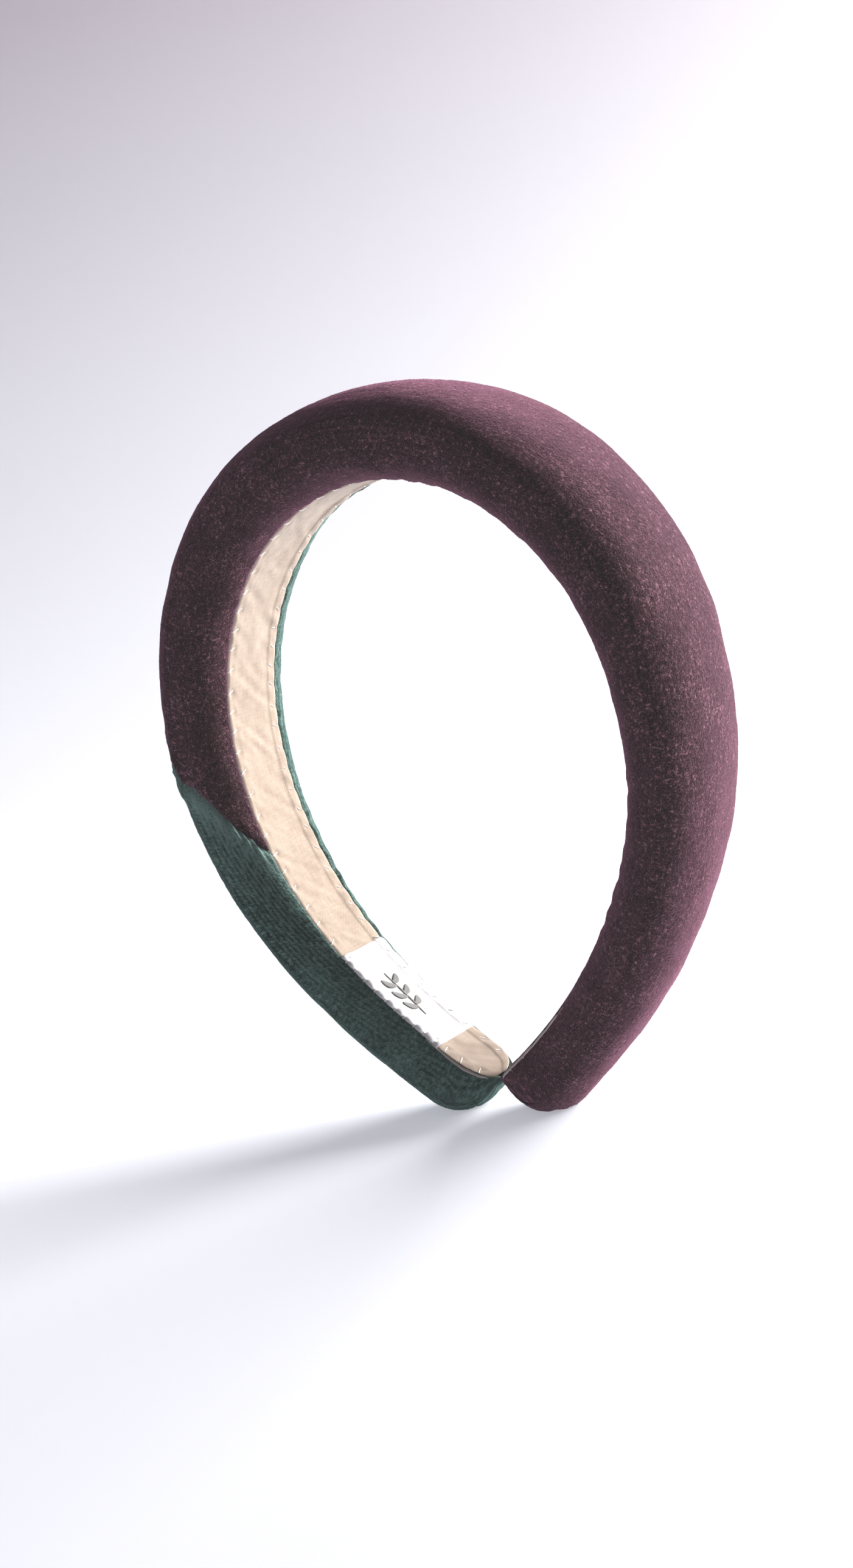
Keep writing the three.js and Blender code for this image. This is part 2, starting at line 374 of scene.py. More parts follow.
def linen(name, light, dark, brim):
    """Plain weave: warp along the strip, weft across it, with uneven threads."""
    m = Nodes(name)
    along, across, hem = m.layer()
    wander = m.noise(m.join(along, across), 0.5, 2.0)
    shift = m.times(m.minus(wander, 0.5), 0.5)
    warp = m.math("SINE", m.times(m.plus(across, shift), 2 * math.pi / WEAVE_PITCH))
    weft = m.math("SINE", m.times(m.plus(along, shift), 2 * math.pi / WEAVE_PITCH))
    weave = m.times(warp, weft)
    slub_a = m.noise(m.join(m.times(along, 0.12), across, 2.0), 2.4, 2.0)
    slub_b = m.noise(m.join(along, m.times(across, 0.12), 5.0), 2.4, 2.0)
    slub = m.plus(m.times(slub_a, 0.5), m.times(slub_b, 0.5))
    patch = m.noise(m.join(along, across), 0.10, 3.0)
    value = m.plus(m.times(weave, 0.17), m.times(slub, 0.9))
    value = m.plus(value, m.times(m.minus(patch, 0.5), 0.35))
    color = m.ramp(value, (0.15, dark), (0.55, light), (0.9, tuple(min(1.0, c * 1.12) for c in light)))
    # painted shade: the linen darkens towards each tip
    tip_shade = m.times(m.minus(m.math("ABSOLUTE", along), TIP_SHADE_FROM), 1 / TIP_SHADE_FADE)
    color = m.blend(m.limit(tip_shade, TIP_SHADE_MOST), color, dark)
    brink = m.math("MINIMUM", m.times(hem, 1 / BRIM_WIDTH), 1.0)
    color = m.blend(brink, brim, color)
    m.set(Base_Color=color, Roughness=0.92, Sheen_Weight=0.25, Sheen_Roughness=0.6,
          Specular_IOR_Level=0.2)
    height = m.plus(m.times(weave, 0.5), slub)
    m.bump(height, 0.00007, 0.55)
    return m.material


def woven_tape(name, color, shadow):
    """Fine satin tape with ribs both ways."""
    m = Nodes(name)
    along, across = m.layer()[:2]
    rib = m.math("SINE", m.times(along, 2 * math.pi / RIB_PITCH))
    cross = m.math("SINE", m.times(across, 2 * math.pi / CROSS_PITCH))
    grain = m.noise(m.join(along, across), 1.4, 3.0)
    value = m.plus(m.times(m.times(rib, cross), 0.05), grain)
    tone = m.ramp(value, (0.2, shadow), (0.6, color))
    m.set(Base_Color=tone, Roughness=0.7, Sheen_Weight=0.2, Specular_IOR_Level=0.3)
    m.bump(m.times(rib, cross), 0.00003, 0.4)
    return m.material


def thread(name, light, dark):
    """Twisted cotton: the tone winds round each ply."""
    m = Nodes(name)
    along, round_it, ply = m.layer()
    fibre = m.noise(m.join(along, round_it, ply), 3.0, 3.0)
    tone = m.ramp(fibre, (0.3, dark), (0.65, light))
    m.set(Base_Color=tone, Roughness=0.75, Sheen_Weight=0.3, Specular_IOR_Level=0.25)
    m.bump(fibre, 0.00003, 0.6)
    return m.material


def solid(name, light, dark, roughness, scale, depth):
    """An even material with fine grain, from object coordinates."""
    m = Nodes(name)
    coordinates = m.node("ShaderNodeTexCoord")
    grain = m.noise(coordinates.outputs["Object"], scale, 3.0)
    tone = m.ramp(grain, (0.3, dark), (0.7, light))
    m.set(Base_Color=tone, Roughness=roughness)
    m.bump(grain, depth, 0.5)
    return m.material


PLUM = velvet("plum velvet", (0.010, 0.006, 0.007), (0.042, 0.019, 0.022), (0.43, 0.22, 0.272),
              (0.72, 0.55, 0.62), (1.0, 0.44, 0.66), 0.45, 0.46)
GREEN = velvet("green velvet", (0.006, 0.014, 0.012), (0.026, 0.050, 0.044), (0.118, 0.185, 0.165),
               (0.30, 0.40, 0.37), (0.50, 0.80, 0.73), 0.95, 0.24)
LINEN = linen("linen", (0.385, 0.298, 0.228), (0.235, 0.172, 0.127), (0.50, 0.43, 0.42))
TAPE = woven_tape("label tape", (0.62, 0.61, 0.63), (0.50, 0.49, 0.52))
MOTIF = thread("motif thread", (0.17, 0.165, 0.16), (0.10, 0.097, 0.094))
COTTON = thread("sewing cotton", (0.95, 0.93, 0.90), (0.75, 0.72, 0.68))
SEAM_COTTON = thread("seam cotton", (0.06, 0.045, 0.05), (0.02, 0.016, 0.018))
PLASTIC = solid("core plastic", (0.82, 0.80, 0.75), (0.74, 0.72, 0.67), 0.45, 300.0, 0.0001)
FOAM = solid("foam", (0.88, 0.84, 0.68), (0.70, 0.66, 0.50), 0.95, 1400.0, 0.0006)

# ---- padding: the foam pad's own form, from a short cloth simulation ----

PAD_INSET = FABRIC + 0.6
PAD_ROWS = 96
PAD_SIDES = 26
PAD_REACH = ARM - 5.0  # s of its ends
PAD_BASE = LINING_THICKNESS + FABRIC + 2.7  # n of its flat base, on the core
PAD_CORNER = 0.56  # angle that its ring covers below the widest points, in radians
PAD_PRESSURE = 4.0
PAD_GROWTH = -0.025  # a negative shrink: the cover starts a little too large
PAD_STIFFNESS = 20.0
PAD_BENDING = 2.0
PAD_FADE = 30.0  # distance from a tip over which the movement fades out
PAD_CAP = 0.7  # most that a point may move, in millimetres
PAD_SHARE = 0.3  # of the simulated movement that the stiff velvet lets through
PAD_FRAMES = 20
PAD_ENDS = 8  # rings at each end that are left out of the even swelling


def pad_grid():
    """Closed rings of the pad, from the front corner of its base round the outside and back."""
    s = np.linspace(-PAD_REACH, PAD_REACH, PAD_ROWS)[:, None]
    angle = np.linspace(-PAD_CORNER, math.pi + PAD_CORNER, PAD_SIDES)[None, :]
    y, n = section_point(s, angle, PAD_INSET)
    return s, place(s, y, np.maximum(n, PAD_BASE))


def simulate_pad(points):
    """The pad's points after its cover is pressed out by the foam."""
    rows, sides = points.shape[:2]
    mesh = bpy.data.meshes.new("pad form")
    faces = grid_faces(rows, sides, closed=True).tolist()
    mesh.from_pydata(points.reshape(-1, 3).tolist(), [], faces)
    form = add_object("pad form", mesh)
    held = form.vertex_groups.new(name="held")
    index = np.arange(rows * sides).reshape(rows, sides)
    corners = np.concatenate([index[:, :2].ravel(), index[:, -2:].ravel(), index[:2].ravel(),
                              index[-2:].ravel()])
    held.add([int(k) for k in corners], 1.0, "REPLACE")
    cloth = form.modifiers.new("cloth", "CLOTH")
    settings = cloth.settings
    settings.vertex_group_mass = "held"
    settings.use_pressure = True
    settings.uniform_pressure_force = PAD_PRESSURE
    settings.effector_weights.gravity = 0.0
    settings.shrink_min = PAD_GROWTH
    settings.tension_stiffness = PAD_STIFFNESS
    settings.compression_stiffness = PAD_STIFFNESS
    settings.bending_stiffness = PAD_BENDING
    settings.quality = 5
    cloth.point_cache.frame_start = 1
    cloth.point_cache.frame_end = PAD_FRAMES
    for step in range(1, PAD_FRAMES + 1):
        bpy.context.scene.frame_set(step)
    shaped = form.evaluated_get(bpy.context.evaluated_depsgraph_get())
    moved = np.array([v.co for v in shaped.data.vertices]).reshape(points.shape)
    bpy.context.scene.frame_set(1)
    bpy.data.objects.remove(form)
    return moved


def outward(points, s):
    """Unit normals of the pad's grid that all point out of it."""
    normal = grid_normals(points)
    centre = place(s, 0.0, THICKNESS[1] / 2)
    return normal * np.sign(np.sum(normal * (points - centre), axis=-1, keepdims=True))


pad_s, pad_points = pad_grid()


def pad_displacement():
    """Outward movement in millimetres over the pad's grid, capped."""
    moved = simulate_pad(pad_points)
    shift = np.sum((moved - pad_points) * outward(pad_points, pad_s), axis=-1) / MM
    even = np.median(shift[PAD_ENDS:-PAD_ENDS], axis=0, keepdims=True)
    away_from_tips = smooth((PAD_REACH - np.abs(pad_s)) / PAD_FADE)
    return np.clip(PAD_SHARE * (shift - even), -PAD_CAP, PAD_CAP) * away_from_tips


PAD_SHIFT = pad_displacement()


def spline_weights(f):
    """Weights of the four grid lines round a point, for a cubic spline."""
    return ((1 - f) ** 3 / 6, (3 * f ** 3 - 6 * f ** 2 + 4) / 6,
            (-3 * f ** 3 + 3 * f ** 2 + 3 * f + 1) / 6, f ** 3 / 6)


def pad_shift(s, girth):
    """The pad's movement at s and girth, smoothed by a cubic spline over its grid."""
    u = np.clip((s + PAD_REACH) / (2 * PAD_REACH), 0, 1) * (PAD_ROWS - 1)
    v = np.clip(1 - girth, 0, 1) * (PAD_SIDES - 1)
    u, v = np.broadcast_arrays(u, v)
    iu, iv = np.floor(u).astype(int), np.floor(v).astype(int)
    wu, wv = spline_weights(u - iu), spline_weights(v - iv)
    total = np.zeros(u.shape)
    for a in range(4):
        for b in range(4):
            rows = np.clip(iu + a - 1, 0, PAD_ROWS - 1)
            columns = np.clip(iv + b - 1, 0, PAD_SIDES - 1)
            total += wu[a] * wv[b] * PAD_SHIFT[rows, columns]
    return total


# ---- stitch places, shared by the lining, the label, the velvet and the thread ----

STITCH_END = ARM - 3.5


def stitch_places(side):
    """s of each whip stitch on one edge, uneven as hand sewing is, and closer on the label."""
    random = np.random.RandomState(11 if side < 0 else 12)
    places = [-STITCH_END + (0.5 if side < 0 else 2.6)]
    while places[-1] < STITCH_END - STITCH_PITCH:
        on_label = side < 0 and LABEL_SPAN[0] - 2.0 < places[-1] < LABEL_SPAN[1] - 2.0
        pitch = LABEL_PITCH if on_label else STITCH_PITCH
        places.append(places[-1] + pitch * random.uniform(0.88, 1.12))
    return np.array(places)


STITCHES = {side: stitch_places(side) for side in (-1, 1)}


def pull(s, side, width=1.1):
    """1 at a stitch of that edge, falling to 0 between stitches."""
    places = STITCHES[side]
    flat = np.asarray(s, float)
    nearest = np.clip(np.searchsorted(places, flat), 1, len(places) - 1)
    distance = np.minimum(np.abs(flat - places[nearest - 1]), np.abs(flat - places[nearest]))
    return hill(distance, width)


WRAP_START = (125.0, 172.0)  # distances from the crown on the plum and the green arm
WRAP_LENGTH = (45.0, 18.0)


def wrap(s):
    """From 0 to 1, how far the lining's front edge is drawn over the velvet towards each tip."""
    return smooth((np.abs(s) - np.where(s > 0, *WRAP_START)) / np.where(s > 0, *WRAP_LENGTH))


# ---- velvet panels ----

VELVET_COLUMNS = 140
BACK_COLUMNS = 16  # on the back of the cloth, which is hidden
UNDER = (-0.05, -0.031, -0.012)  # girths of the columns turned under the lining
UNDER_WIDTH = 3.0  # of the turned edge
SHOULDER_LIMIT = 0.975  # the velvet stops at this share of the half depth at most
VELVET_HUG = 0.35  # between the lining's edge and the velvet's roll beside it
EDGE_DEPTH = 0.15  # of the velvet's roll below the lining's inner face
EDGE_SHARE = 0.10  # of the girth, over which the roll blends into the section
SIDE_SAMPLES = 220  # fine steps round the section, to space the columns evenly
OUTER_SAMPLES = 500
TUFT_ACROSS = 1.5  # between two columns of tufts
TUFT_ALONG = 1.15  # between two tufts of a column
TUFT_HEIGHT = 0.30
SEAM_GAP = 0.12  # from the seam to each panel
SEAM_SLANT = 0.55  # distance from the seam for each millimetre of s
ALONG_SCALE = 1.22  # length on the outer face for each millimetre of the inner line
LAST_STATION = 0.985  # share of the panel's length where its columns are last spaced


def opening(s):
    """Angle that the velvet covers below the section's widest points, in radians."""
    shoulder = np.minimum((lining_half(s) + VELVET_HUG) / section_size(s)[1], SHOULDER_LIMIT)
    return np.arccos(shoulder ** (FULLNESS / 2))


def velvet_section(s, girth, inset):
    """y and n round the velvet. Below 0 and above 1 the edge is turned under the lining."""
    edge = lining_half(s)
    angle = opening(s)
    inside = np.clip(girth, 0.0, 1.0)
    y, n = section_point(s, mix(math.pi + angle, -angle, inside), inset)
    sunk = section_point(s, -angle, inset)[1] - inset - EDGE_DEPTH
    near_edge = 1.0 - smooth(np.minimum(inside, 1.0 - inside) / EDGE_SHARE)
    n = n - np.maximum(sunk, 0.0) * near_edge
    under = np.clip(np.maximum(-girth, girth - 1.0) / -UNDER[0], 0.0, 1.0)
    side = np.where(girth < 0.5, -1.0, 1.0)
    depth = np.minimum(LINING_THICKNESS + 0.3, 0.35 * section_size(s)[0]) + inset
    turned_y = side * mix(edge + VELVET_HUG, np.maximum(edge - UNDER_WIDTH, 0.3 * edge), under)
    turned_n = mix(n, np.maximum(depth, n), smooth(under * 3.0))
    outside = (girth < 0) | (girth > 1)
    return np.where(outside, turned_y, y), np.where(outside, turned_n, n)


def even_columns(s):
    """For each s: girths at even distances round the velvet, and those distances."""
    below = opening(s)
    depth = np.linspace(0.0, 1.0, SIDE_SAMPLES)[None, :] * np.sin(below) ** (2 / FULLNESS)
    corner = np.arcsin(depth ** (FULLNESS / 2))
    outside = np.linspace(math.pi, 0.0, OUTER_SAMPLES)[None, 1:-1] + 0.0 * s
    angle = np.concatenate([math.pi + corner[:, ::-1], outside, -corner], axis=1)
    dense = (math.pi + below - angle) / (math.pi + 2 * below)
    y, n = velvet_section(s, dense, 0.0)
    steps = np.hypot(np.diff(y, axis=1), np.diff(n, axis=1))
    lengths = np.concatenate([np.zeros((len(s), 1)), np.cumsum(steps, axis=1)], axis=1)
    share = np.linspace(0.0, 1.0, VELVET_COLUMNS)
    girth = np.stack([np.interp(share * row[-1], row, g) for row, g in zip(lengths, dense)])
    return girth, share[None, :] * lengths[:, -1:]


def tufts(along, across, seed):
    """Height from 0 to 1 of the pile: columns of small domes, each a little different."""
    bend = 0.35 * noise(along / 21.0 + 60, across / 13.0 + 60, seed)
    u = across / TUFT_ACROSS + bend + 200.0
    column = np.floor(u).astype(int)
    offside = np.abs(2.0 * (u - column) - 1.0)
    rough = lattice(seed + 7)
    size = rough.shape[0]
    v = along / TUFT_ALONG + 0.45 * offside + 0.5 * rough[column % size, (column * 3) % size] + 400.0
    number = np.floor(v).astype(int)
    end = np.abs(2.0 * (v - number) - 1.0)
    level = 0.80 + 0.20 * rough[column % size, number % size]
    return (1.0 - offside ** 2.2) * (1.0 - 0.75 * end ** 2) * level


class Panel:
    """One velvet panel from the seam to a tip: side is 1 on the plum arm and -1 on the green one.

    lip_height and overlap are the size of the ridge of long pile at the seam, and how far it lies
    over the other panel. knit_end is the distance from the crown past which the tufts fade.
    """

    def __init__(self, side, rows, seed, lip_height, overlap, knit_end):
        self.side = side
        self.rows = rows
        self.seed = seed
        self.lip_height = lip_height
        self.overlap = overlap
        self.knit_end = knit_end
        self.lay_grid()
        self.raise_pile()

    def lay_grid(self):
        """Where each point lies: s along the band, girth and millimetres round it."""
        self.share = np.linspace(0.0, 1.0, self.rows)[:, None]
        stations = mix(seam_at(np.array([[0.5]])), self.side * ARM, self.share * LAST_STATION)
        girth, around = even_columns(stations)
        under = np.array(UNDER)[None, :] + np.zeros((self.rows, 1))
        self.girth = np.concatenate([under, girth, 1.0 - under[:, ::-1]], axis=1)
        span = around[:, -1:]
        around = np.concatenate([under * span, around, span * (1 - under[:, ::-1])], axis=1)
        self.to_edge = np.minimum(around, span - around)
        self.around = around - span / 2
        seam = seam_at(self.girth)
        s = mix(seam + self.side * SEAM_GAP, self.side * ARM, self.share)
        near_tip = np.clip(1.0 - (ARM - np.abs(s)) / END_ROUND, 0.0, 1.0)
        rounded = ARM - END_ROUND * (1 - np.sin(near_tip * math.pi / 2))
        self.s = np.where(near_tip > 0, self.side * rounded, s)
        self.from_seam = np.abs(self.s - seam) * SEAM_SLANT
        self.along = self.s * ALONG_SCALE
        self.visible = smooth((self.to_edge + 0.2) / 0.8) * ((self.girth >= 0) & (self.girth <= 1))

    def uneven(self, length, width, step):
        """Smooth noise from -1 to 1 with cells of length along the band and width round it."""
        return noise(self.s / length + 40, self.around / width + 40, self.seed + step)

    def raise_pile(self):
        """The pile from 0 to 1, how far it stands out, and how far it leans over the seam."""
        s, around, to_edge, from_seam = self.s, self.around, self.to_edge, self.from_seam
        knit = mix(1.0, 0.4, smooth((np.abs(s) - self.knit_end) / 35.0))
        worn = noise(self.along / 9.0 + 40, around / 7.0 + 40, self.seed + 6)
        knit = knit * (0.8 + 0.35 * worn)
        self.pile = mix(0.55, tufts(self.along, around, self.seed), knit)
        # the pad's form, and slow unevenness of the stuffing
        shift = pad_shift(s, np.clip(self.girth, 0, 1)) * smooth(to_edge / 8.0)
        shift += 0.28 * self.uneven(17.0, 14.0, 0)
        shift += 0.13 * self.uneven(5.0, 6.0, 1)
        # a roll beside the lining, pulled in at the stitches and pressed flat where it is covered
        stitched = np.where(self.girth < 0.5, pull(s, -1, 1.5), pull(s, 1, 1.5))
        covered = wrap(s) * (self.girth < 0.5)
        shift += (0.34 - 0.30 * stitched) * (1 - covered) * hill(to_edge, 2.4)
        shift -= 0.25 * covered * hill(to_edge, 1.8)
        shift += 0.16 * self.uneven(2.6, 16.0, 2) * hill(to_edge, 9.0)
        # the seam's groove and the ragged lip of pile beside it
        rough = noise(around / 0.9 + 40, s / 9.0 + 40, self.seed + 3)
        ragged = np.clip(0.5 + 0.8 * rough, 0.0, 1.2)
        lip = hill(from_seam - 1.5, 1.3)
        shift += -0.8 * hill(from_seam, 0.7) + self.lip_height * lip * ragged
        # small gathers where the velvet closes over the tip
        bend = noise(around / 4 + 40, s / 8 + 40, self.seed + 4)
        gather = np.sin(around * 1.35 + 2.0 * bend)
        shift += 0.22 * gather * smooth((np.abs(s) - (ARM - 13.0)) / 9.0)
        # the tufts themselves, longer on the lip, and single fibres
        random = np.random.RandomState(self.seed + 5)
        longer = 1.0 + 0.8 * lip * (self.lip_height > 0.4)
        shift += TUFT_HEIGHT * (self.pile - 0.5) * longer * smooth(to_edge / 2.0)
        shift += 0.05 * random.uniform(-1.0, 1.0, shift.shape)
        self.shift = shift * self.visible * mix(0.35, 1.0, smooth((ARM + 0.5 - np.abs(s)) / 3.0))
        self.lean = self.overlap * ragged * hill(from_seam, 1.7) * self.visible

    def face_points(self):
        """Points of the pile's face."""
        s = self.s - self.side * self.lean
        points = place(s, *velvet_section(s, self.girth, 0.0))
        normal = grid_normals(place(self.s, *velvet_section(self.s, self.girth, 0.0)))
        middle = place(self.s, 0.0, section_size(self.s)[0] / 2)
        outwards = np.sign(np.sum(normal * (points - middle), axis=-1, keepdims=True))
        points = points + normal * outwards * self.shift[..., None] * MM
        points[..., 2] = np.maximum(points[..., 2], FLOOR_GAP * MM)
        return points

    def back_points(self):
        """Points of the back of the cloth."""
        girth = np.linspace(UNDER[0], 1.0 - UNDER[0], BACK_COLUMNS)[None, :]
        s = mix(seam_at(girth) + self.side * SEAM_GAP, self.side * (ARM - FABRIC), self.share)
        return place(s, *velvet_section(s, girth, FABRIC))

    def faces(self, columns):
        """Quads and triangles of the closed shell: face, back, long edges, seam edge and tip."""
        first = self.rows * columns
        tip = first + self.rows * BACK_COLUMNS
        face = np.arange(first).reshape(self.rows, columns)
        back = first + np.arange(self.rows * BACK_COLUMNS).reshape(self.rows, BACK_COLUMNS)
        edges = []
        for k in range(self.rows - 1):
            edges.append((face[k, 0], face[k + 1, 0], back[k + 1, 0], back[k, 0]))
            edges.append((face[k + 1, -1], face[k, -1], back[k, -1], back[k + 1, -1]))
        outer_fan = [(face[-1, k], face[-1, k + 1], tip) for k in range(columns - 1)]
        inner_fan = [(back[-1, k + 1], back[-1, k], tip + 1) for k in range(BACK_COLUMNS - 1)]
        ends = [(face[-1, 0], tip, tip + 1, back[-1, 0]),
                (tip, face[-1, -1], back[-1, -1], tip + 1)]
        flip = self.side < 0
        turn = (lambda group: group[:, ::-1]) if flip else (lambda group: group)
        return [
            grid_faces(self.rows, columns, flip=flip),
            grid_faces(self.rows, BACK_COLUMNS, first=first, flip=not flip),
            turn(np.array(edges)),
            turn(zip_faces(face[0], back[0]))[:, ::-1],
            turn(np.array(outer_fan)),
            turn(np.array(inner_fan)),
            turn(np.array(ends)),
        ]

    def build(self, name, material, slot):
        points = self.face_points()
        tip_point = place(self.side * (ARM + 0.25), 0.0, 2.0)
        back_tip = place(self.side * (ARM - FABRIC), 0.0, FABRIC + 0.8)
        every = np.concatenate([points.reshape(-1, 3), self.back_points().reshape(-1, 3),
                                [tip_point, back_tip]])
        # painted light: a paler band beside the seam and on its lip of pile, given to the green panel
        # only
        glow = hill(self.from_seam - 1.0, 2.4) + 0.8 * hill(self.from_seam, 14.0)
        glow = glow * (self.lip_height > 0.4)
        coords = vectors(self.along, self.around, self.from_seam)
        heights = vectors(self.pile, glow, 0.0)
        hidden = np.zeros((len(every) - len(coords), 3))
        return make_mesh(name, every, self.faces(points.shape[1]), material, slot,
                         cloth=np.concatenate([coords, hidden]),
                         pile=np.concatenate([heights, hidden]))


PLUM_ROWS = 600
GREEN_ROWS = 420
plum_panel = Panel(1, PLUM_ROWS, seed=21, lip_height=0.25, overlap=0.2, knit_end=0.0)
plum = plum_panel.build("plum_velvet_panel", PLUM, "velvet_plum")
green_panel = Panel(-1, GREEN_ROWS, seed=51, lip_height=0.95, overlap=1.4, knit_end=130.0)
green = green_panel.build("green_velvet_panel", GREEN, "velvet_green")
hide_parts("velvet_cover_plum")
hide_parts("velvet_cover_green")

# ---- foam padding ----

PAD_ROOM = 0.2  # most that the foam stands out, to stay under the velvet


def foam_padding():
    shift = np.clip(PAD_SHIFT, -PAD_CAP, PAD_ROOM)
    points = pad_points + outward(pad_points, pad_s) * shift[..., None] * MM
    first_ring = np.arange(PAD_SIDES)
    last_ring = first_ring + (PAD_ROWS - 1) * PAD_SIDES
    faces = [grid_faces(PAD_ROWS, PAD_SIDES, closed=True), [first_ring[::-1].tolist()],
             [last_ring.tolist()]]
    return make_mesh("foam_padding", points, faces, FOAM, "foam")


foam = foam_padding()
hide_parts("foam_pad")

# ---- lining ----

LINING_ROWS = 1040
LINING_COLUMNS = 45
LINING_END = ARM - 0.7
HEM = 3.4  # width of the folded hem on each edge
OVERHANG = 0.30  # of the lining past the width of its CAD solid, on each side
END_CURVE = 4.0  # length of its rounded end


def lining_surface(s, across):
    """y and n of the lining's face. across runs from -1, the front edge, to 1, the rear edge."""
    half = lining_half(s) + OVERHANG
    end = np.clip((np.abs(s) - (LINING_END - END_CURVE)) / END_CURVE, 0.0, 1.0)
    half = half * np.sqrt(np.maximum(1.0 - 0.80 * end ** 3, 0.0))
    side = np.where(across < 0, -1.0, 1.0)
    rear = smooth((across + 0.2) / 0.4)
    stitched = np.where(across < 0, pull(s, -1), pull(s, 1))
    scallop = (0.14 + 0.10 * rear) * stitched * smooth((np.abs(across) - 0.45) / 0.5)
    y = across * (half - scallop)
    from_edge = half * (1.0 - np.abs(across))
    fold = (0.04 + 0.16 * rear) * (1.0 - smooth((from_edge - HEM + 0.5) / 0.9))
    crown = 0.10 * hill(from_edge - 1.5, 1.0) * rear
    roll = 0.40 * np.exp(-(from_edge / 0.30) ** 1.5)
    dimple = 0.24 * stitched * hill(from_edge - 1.6, 1.0)
    soft = 0.09 * noise(s / 6.0 + 50, y / 4.0 + 50, 71) + 0.05 * noise(s / 1.9 + 50, y / 2.6 + 50, 72)
    crease = 0.12 * noise((s + 0.8 * y) / 2.4 + 50, y / 7.0 + 50, 73) * smooth(from_edge / 1.0)
    drawn = wrap(s) * (across < 0)
    y = y - 0.75 * drawn * hill(from_edge, 1.0)
    curl = 0.55 * drawn * np.exp(-(from_edge / 0.9) ** 1.6)
    n = -0.05 - fold - crown + roll + dimple + soft + crease + curl
    return y, n + 0.22 * end ** 2


def border_of(index):
    """The numbers round the edge of a grid of points, in order."""
    return np.concatenate([index[0], index[1:, -1], index[-1, ::-1][1:], index[::-1, 0][1:-1]])


def walls(border, step):
    """Quads from a border to the same border step points further on."""
    beside = np.roll(border, -1)
    return np.stack([border, beside, beside + step, border + step], axis=-1)


def strip_body(name, s, face, thickness, material, slot, coords):
    """A thin closed sheet under a face given as y and n on a grid."""
    y, n = face
    rows, columns = y.shape
    top = place(s, y, n)
    under = place(s, y * 0.985, np.maximum(n + 0.12, thickness - 0.05))
    index = np.arange(rows * columns).reshape(rows, columns)
    faces = [grid_faces(rows, columns, flip=True), grid_faces(rows, columns, first=rows * columns),
             walls(border_of(index), rows * columns)]
    every = np.concatenate([top.reshape(-1, 3), under.reshape(-1, 3)])
    both = np.concatenate([coords] * 2)
    return make_mesh(name, every, faces, material, slot, cloth=both)


def bunched(columns, power):
    """Places from -1 to 1 across a strip, closer together towards its edges."""
    even = np.linspace(-1.0, 1.0, columns)
    return (np.sign(even) * (1 - (1 - np.abs(even)) ** power))[None, :]


def lining():
    s = np.linspace(-LINING_END, LINING_END, LINING_ROWS)[:, None]
    across = bunched(LINING_COLUMNS, 1.25)
    y, n = lining_surface(s, across)
    coords = vectors(s, y, lining_half(s) * (1 - np.abs(across)))
    return strip_body("linen_lining", s, (y, n), LINING_THICKNESS, LINEN, "linen", coords)


strip = lining()
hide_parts("lining_strip")

# ---- label ----

LABEL_ROWS = 110
LABEL_COLUMNS = 57
LABEL_LIFT = 0.42  # of its face above the lining


def label_surface(s, across):
    """y and n of the label's face, puffed out between the close stitches of its front edge."""
    y, n = lining_surface(s, across)
    half = lining_half(s) + OVERHANG
    from_edge = half * (1.0 - np.abs(across))
    stitched = pull(s, -1, 0.6)
    front = 1.0 - smooth((across + 0.2) / 0.4)
    puff = front * 0.55 * (1.0 - 1.15 * stitched) * hill(from_edge - 1.3, 1.35)
    ends = 0.25 * hill(np.minimum(s - LABEL_SPAN[0], LABEL_SPAN[1] - s), 0.5)
    y = y - front * 0.35 * (1 - stitched) * smooth((np.abs(across) - 0.6) / 0.4)
    return y, n - LABEL_LIFT - puff + ends


def label():
    s = np.linspace(LABEL_SPAN[0], LABEL_SPAN[1], LABEL_ROWS)[:, None]
    y, n = label_surface(s, bunched(LABEL_COLUMNS, 1.3))
    return strip_body("blank_woven_label", s, (y, n), 0.0, TAPE, "label_satin", vectors(s, y, 0.0))


tape = label()
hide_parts("woven_label")

# ---- a plain leaf sprig worked on the label ----

SPRIG_START = -173.0
SPRIG_END = -158.0
SPRIG_ACROSS = -1.2  # y of its stem
STEM_WIDTH = 0.22
LEAF_PAIRS = 3
LEAF_LENGTH = 4.2
LEAF_WIDTH = 0.95
LEAF_PITCH = 3.9
FIRST_LEAF = 3.2  # from the stem's start
STROKE_STEPS = 14
STROKE_SIDES = 5
STROKE_LIFTS = (0.16, -0.05)  # of its face and its back, above the label


def stroke(start, end, bow, width):
    """Points s, y on a grid over one lens-shaped stroke that bends to one side."""
    u = np.linspace(0.0, 1.0, STROKE_STEPS)[:, None]
    v = np.linspace(-1.0, 1.0, STROKE_SIDES)[None, :]
    start, end = np.array(start), np.array(end)
    run = end - start
    cross = np.array([-run[1], run[0]]) / np.hypot(*run)
    line = start + run * u + cross * bow * np.sin(math.pi * u)
    wide = width * (0.12 + 0.88 * np.sin(math.pi * u) ** 0.7)
    return line[:, None, 0] + cross[0] * wide * v, line[:, None, 1] + cross[1] * wide * v


def sprig_strokes():
    """The stem, and pairs of leaves along it."""
    strokes = [stroke((SPRIG_START, SPRIG_ACROSS - 0.4), (SPRIG_END, SPRIG_ACROSS), 0.5, STEM_WIDTH)]
    for k in range(LEAF_PAIRS):
        root = SPRIG_START + FIRST_LEAF + LEAF_PITCH * k
        for side in (-1, 1):
            tip = (root + LEAF_LENGTH * 0.62, SPRIG_ACROSS + side * LEAF_LENGTH * 0.72)
            strokes.append(stroke((root + 0.6 * side, SPRIG_ACROSS), tip, side * 0.5, LEAF_WIDTH))
    return strokes


